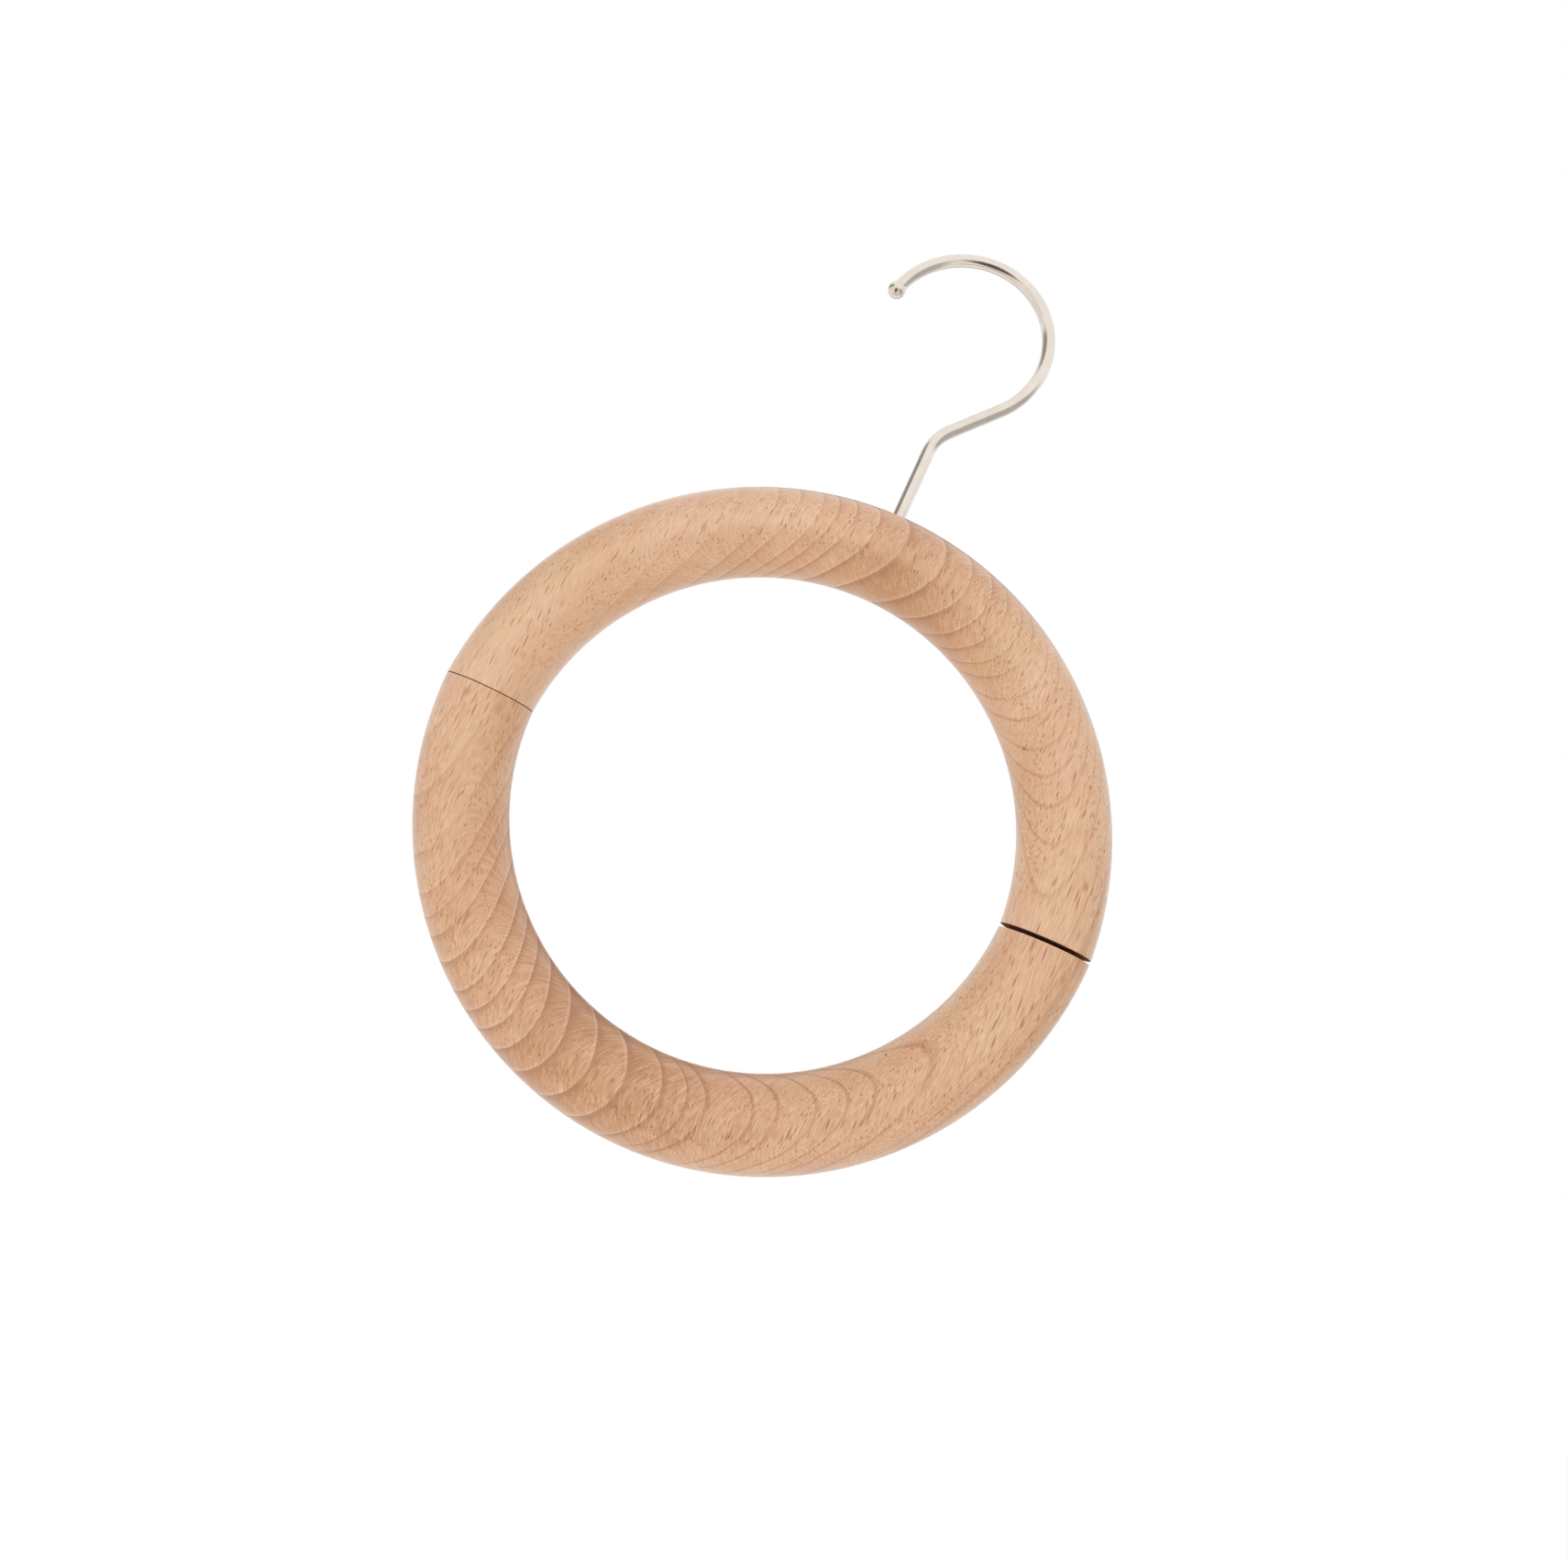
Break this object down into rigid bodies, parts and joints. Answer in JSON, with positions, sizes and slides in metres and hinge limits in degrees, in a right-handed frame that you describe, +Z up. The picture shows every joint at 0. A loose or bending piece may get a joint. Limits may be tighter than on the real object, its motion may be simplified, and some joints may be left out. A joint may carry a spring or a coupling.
{
  "type": "scarf hanger",
  "caption": "Round wooden scarf hanger: a split beech ring whose lower half swings open, hung from a swivelling wire hook with a ball tip.",
  "frame": {"origin": "point inside the hook's loop, on the axis that the hook turns on, where a rail carries the hanger", "axes": "+Z up along the hook's stem and swivel axis, +X to the right in the ring's plane with the pivot seam on the left, +Y away from the viewer through the ring"},
  "size_m": [0.18, 0.024, 0.2559],
  "materials": {
    "beech": "turned, fine sanded, thin clear matt lacquer",
    "nickel_wire": "drawn steel wire with bright warm nickel plate",
    "natural_nylon": "moulded, uncoloured",
    "pin_steel": "turned",
    "ferrite": "pressed and ground, dark grey"
  },
  "bodies": {
    "hook": {"hook": "nickel_wire"},
    "upper_ring": {"upper_ring_half": "beech", "hook_sleeve": "natural_nylon", "pivot_pin": "pin_steel", "upper_magnet": "ferrite"},
    "lower_ring": {"lower_ring_half": "beech", "pivot_sleeve": "natural_nylon", "lower_magnet": "ferrite"}
  },
  "joints": [
    {"name": "hook_swivel", "type": "hinge", "parent": "hook", "child": "upper_ring", "pos_m": [0, 0, -0.0774], "axis": [0, 0, 1], "continuous": true},
    {"name": "lower_half_swing", "type": "hinge", "parent": "upper_ring", "child": "lower_ring", "pos_m": [-0.07796, 0, -0.16448], "axis": [0, 0, 1], "continuous": true}
  ]
}
